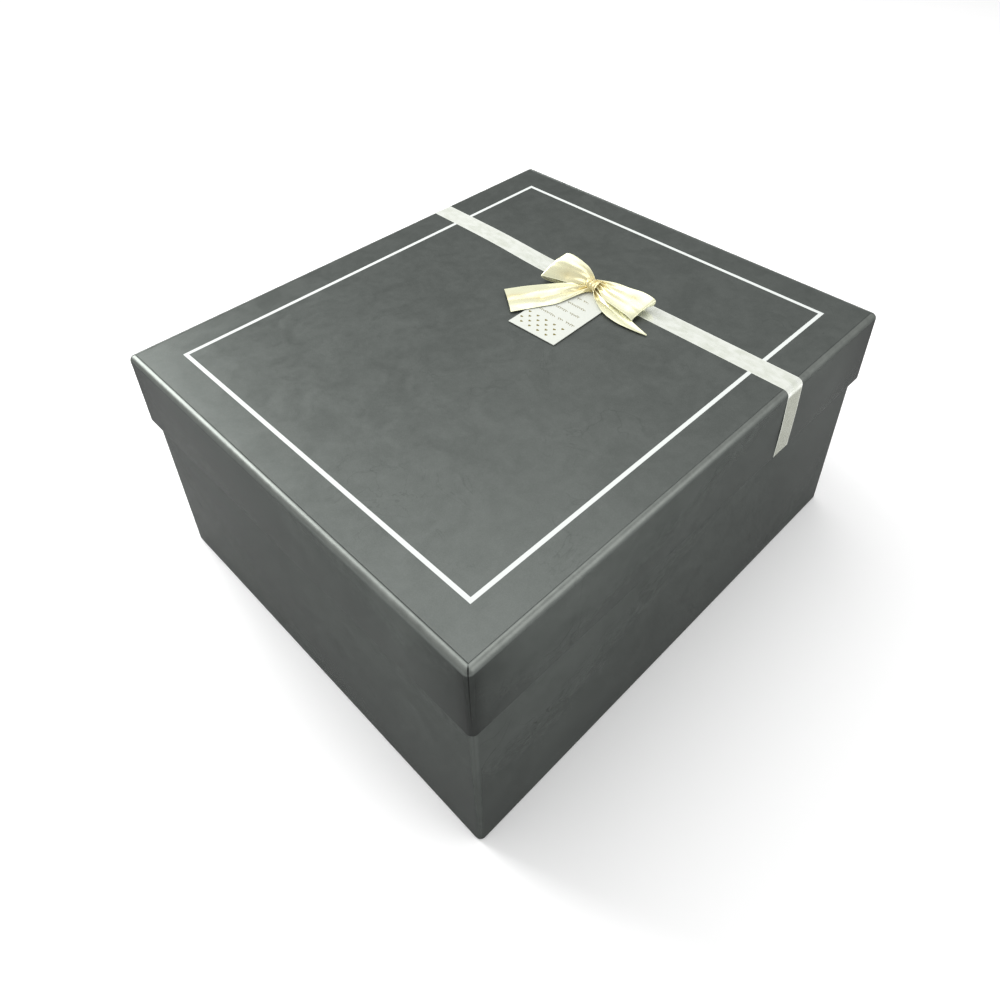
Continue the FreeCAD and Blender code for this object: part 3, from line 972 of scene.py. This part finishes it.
def make_tag_print(ribbon):
    """Rows of hearts at one end of the tag, and flowing lines towards the other."""
    top = TAG_HIGH.z
    ink = gold_ink("Gold print", ribbon.gold)
    hearts = []
    for column in range(HEART_COLUMNS):
        odd = column % 2
        x = (FIRST_COLUMN + COLUMN_STEP * column) * MM
        for row in range(4 + odd):
            y = (FIRST_ROW[odd] - ROW_STEP * row) * MM
            heart = make_heart(ribbon, f"heart_{column}_{row}")
            heart.data.transform(Matrix.Translation((x, y, top)))
            hearts.append(heart)
    print_on_tag(hearts, "tag_hearts", ink, ribbon)
    lines = [flourish(*line, top, seed) for seed, line in enumerate(LINES)]
    print_on_tag(lines, "tag_flourishes", ink, ribbon)


# ---------------------------------------------------------------- boards, linings and glue

def dress_boards(paper, ribbon):
    """Gives the pieces whose shape the design already holds their materials."""
    board = plain_paper("Greyboard", paper.board, fibre=700, depth=0.08 * MM)
    lining = plain_paper("Lining paper", paper.lining)
    tape = plain_paper("Stay tape", paper.tape)
    bottom = plain_paper("Bottom paper", paper.grey)
    card = card_stock("Tag card", ribbon.card)
    glue = Finish("Hot glue", base_color=ribbon.glue, roughness=0.25, subsurface_weight=0.3)
    glue.bump(glue.noise(glue.place(), 800, detail=3), 0.1 * MM)
    finishes = {"board": board, "liner": lining, "stays": tape, "bottom_sheet": bottom,
                "gift_tag": card, "glue_dot": glue.material}
    for name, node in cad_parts.items():
        found = next((look for word, look in finishes.items() if word in name), None)
        if found:
            dress(node, found)


# ---------------------------------------------------------------- stage

class GiftBoxStage(bpy.types.PropertyGroup):
    """Where the camera stands and what lights the box."""
    camera: FloatVectorProperty(name="Camera", description="Where the camera stands",
                                default=(-0.2951, -0.2971, 0.4763), subtype="TRANSLATION")
    azimuth: FloatProperty(name="Azimuth", description="Which way the camera looks",
                           default=math.radians(-43.557), subtype="ANGLE")
    elevation: FloatProperty(name="Elevation", description="How far the camera looks down",
                             default=math.radians(38.542), subtype="ANGLE")
    roll: FloatProperty(name="Roll", description="How far the camera leans",
                        default=math.radians(-1.439), subtype="ANGLE")
    lens: FloatProperty(name="Lens", description="Focal length in millimetres on a 36 mm frame",
                        default=30.704)
    shift: FloatVectorProperty(name="Shift", description="Sideways and upward lens shift",
                               size=2, default=(0.004426, -0.136245), precision=6)
    floor: colour("Floor", (250, 250, 250), "Colour of the floor")
    air: FloatProperty(name="Air", description="Strength of the light from all round",
                       default=0.6)


LIT_POINT = (0, 0, 0.12)    # what the lights are aimed at
SOFTBOXES = {               # where each one stands, its width and height, and its power in watts
    "back_left_softbox": ((-0.3, 1.2, 0.95), (0.8, 0.9), 19),
    "overhead_softbox": ((0.1, 0.3, 1.9), (1.6, 1.6), 15),
    "front_softbox": ((0.5, -1.2, 0.8), (1.0, 1.2), 6.5),
}
FLOOR_SIZE = 24
SENSOR_WIDTH = 36


def add_softbox(name, place, size, power):
    """A rectangular soft light, aimed at the middle of the box."""
    put_down()
    bpy.ops.object.light_add(type="AREA", location=place)
    light = bpy.context.object
    light.name = name
    light.data.shape = "RECTANGLE"
    light.data.size, light.data.size_y = size
    light.data.energy = power
    light.rotation_euler = (Vector(LIT_POINT) - Vector(place)).to_track_quat("-Z", "Y").to_euler()


def make_stage(stage):
    put_down()
    bpy.ops.mesh.primitive_plane_add(size=FLOOR_SIZE)
    floor = settle(bpy.context.object, "floor")
    finish = Finish("Pale floor", base_color=stage.floor, roughness=0.8,
                    specular_ior_level=0.1, emission_color=stage.floor, emission_strength=0.08)
    dress(floor, finish.material)

    world = bpy.data.worlds.new("Studio air")
    world.use_nodes = True
    background = world.node_tree.nodes["Background"]
    background.inputs["Color"].default_value = (1, 1, 1, 1)
    background.inputs["Strength"].default_value = stage.air
    bpy.context.scene.world = world

    for name, settings in SOFTBOXES.items():
        add_softbox(name, *settings)

    bpy.ops.object.camera_add(location=stage.camera)
    camera = bpy.context.object
    turn = (Matrix.Rotation(stage.azimuth, 3, "Z")
            @ Matrix.Rotation(math.pi / 2 - stage.elevation, 3, "X")
            @ Matrix.Rotation(stage.roll, 3, "Z"))
    camera.rotation_euler = turn.to_euler()
    camera.data.sensor_width = SENSOR_WIDTH
    camera.data.lens = stage.lens
    camera.data.shift_x, camera.data.shift_y = stage.shift
    bpy.context.scene.camera = camera
    bpy.context.scene.view_settings.view_transform = "Standard"


# ---------------------------------------------------------------- operators and panel

class GIFTBOX_OT_papers(bpy.types.Operator):
    """Cover the lid and the tray in paper and print the line on the lid"""
    bl_idname = "giftbox.papers"
    bl_label = "Covering papers"

    def execute(self, context):
        paper = context.scene.gift_box_paper
        make_lid_paper(paper)
        make_tray_paper(paper)
        make_printed_line(paper)
        return {"FINISHED"}


class GIFTBOX_OT_boards(bpy.types.Operator):
    """Give the boards, linings, tape, glue and card their materials"""
    bl_idname = "giftbox.boards"
    bl_label = "Boards and linings"

    def execute(self, context):
        dress_boards(context.scene.gift_box_paper, context.scene.gift_box_ribbon)
        return {"FINISHED"}


class GIFTBOX_OT_band(bpy.types.Operator):
    """Lay the flat band over the lid"""
    bl_idname = "giftbox.band"
    bl_label = "Flat band"

    def execute(self, context):
        make_band(context.scene.gift_box_ribbon, context.scene.gift_box_paper)
        return {"FINISHED"}


class GIFTBOX_OT_bow(bpy.types.Operator):
    """Tie the bow on the band"""
    bl_idname = "giftbox.bow"
    bl_label = "Tied bow"

    def execute(self, context):
        make_bow(context.scene.gift_box_ribbon)
        return {"FINISHED"}


class GIFTBOX_OT_tag(bpy.types.Operator):
    """Print the hearts and flowing lines on the tag"""
    bl_idname = "giftbox.tag"
    bl_label = "Tag print"

    def execute(self, context):
        make_tag_print(context.scene.gift_box_ribbon)
        return {"FINISHED"}


class GIFTBOX_OT_stage(bpy.types.Operator):
    """Add the pale floor, the soft lights and the camera"""
    bl_idname = "giftbox.stage"
    bl_label = "Stage"

    def execute(self, context):
        make_stage(context.scene.gift_box_stage)
        return {"FINISHED"}


OPERATORS = (GIFTBOX_OT_stage, GIFTBOX_OT_papers, GIFTBOX_OT_boards, GIFTBOX_OT_band,
             GIFTBOX_OT_bow, GIFTBOX_OT_tag)


class GIFTBOX_PT_panel(bpy.types.Panel):
    """Lists what the gift box is made with"""
    bl_label = "Gift box"
    bl_idname = "GIFTBOX_PT_panel"
    bl_space_type = "VIEW_3D"
    bl_region_type = "UI"
    bl_category = "Gift box"

    def draw(self, context):
        for operator in OPERATORS:
            self.layout.operator(operator.bl_idname)
        for group in (context.scene.gift_box_paper, context.scene.gift_box_ribbon,
                      context.scene.gift_box_stage):
            box = self.layout.box()
            for name in group.bl_rna.properties.keys():
                if name not in ("rna_type", "name"):
                    box.prop(group, name)


GROUPS = {"gift_box_paper": GiftBoxPaper, "gift_box_ribbon": GiftBoxRibbon,
          "gift_box_stage": GiftBoxStage}
CLASSES = (*GROUPS.values(), *OPERATORS, GIFTBOX_PT_panel)


def register():
    for cls in CLASSES:
        bpy.utils.register_class(cls)
    for name, group in GROUPS.items():
        setattr(bpy.types.Scene, name, PointerProperty(type=group))


def unregister():
    for name in GROUPS:
        delattr(bpy.types.Scene, name)
    for cls in reversed(CLASSES):
        bpy.utils.unregister_class(cls)


def main():
    register()
    for operator in OPERATORS:
        category, name = operator.bl_idname.split(".")
        getattr(getattr(bpy.ops, category), name)()
    put_down()


if __name__ == "__main__":
    main()
